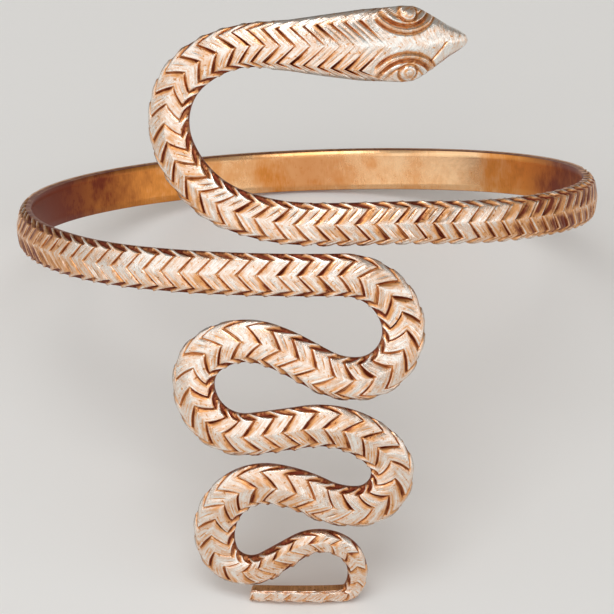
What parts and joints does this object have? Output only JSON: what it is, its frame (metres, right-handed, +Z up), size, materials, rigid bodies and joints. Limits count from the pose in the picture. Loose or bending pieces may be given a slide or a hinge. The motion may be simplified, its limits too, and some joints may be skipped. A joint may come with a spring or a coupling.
{
  "type": "snake upper arm cuff",
  "caption": "Cast upper arm cuff in the form of a snake: one turn round the arm, head looped above it, S-shaped coil and tail below it, raised scales.",
  "frame": {"origin": "middle of the box round the cuff, on the surface that it rests on", "axes": "+X across the arm, +Y towards the back of the ring, +Z up"},
  "size_m": [0.08, 0.0866, 0.0726],
  "materials": {
    "copper": "cast, polished on the high points, red-brown in the grooves"
  },
  "bodies": {
    "root": {"snake": "copper"}
  },
  "joints": []
}
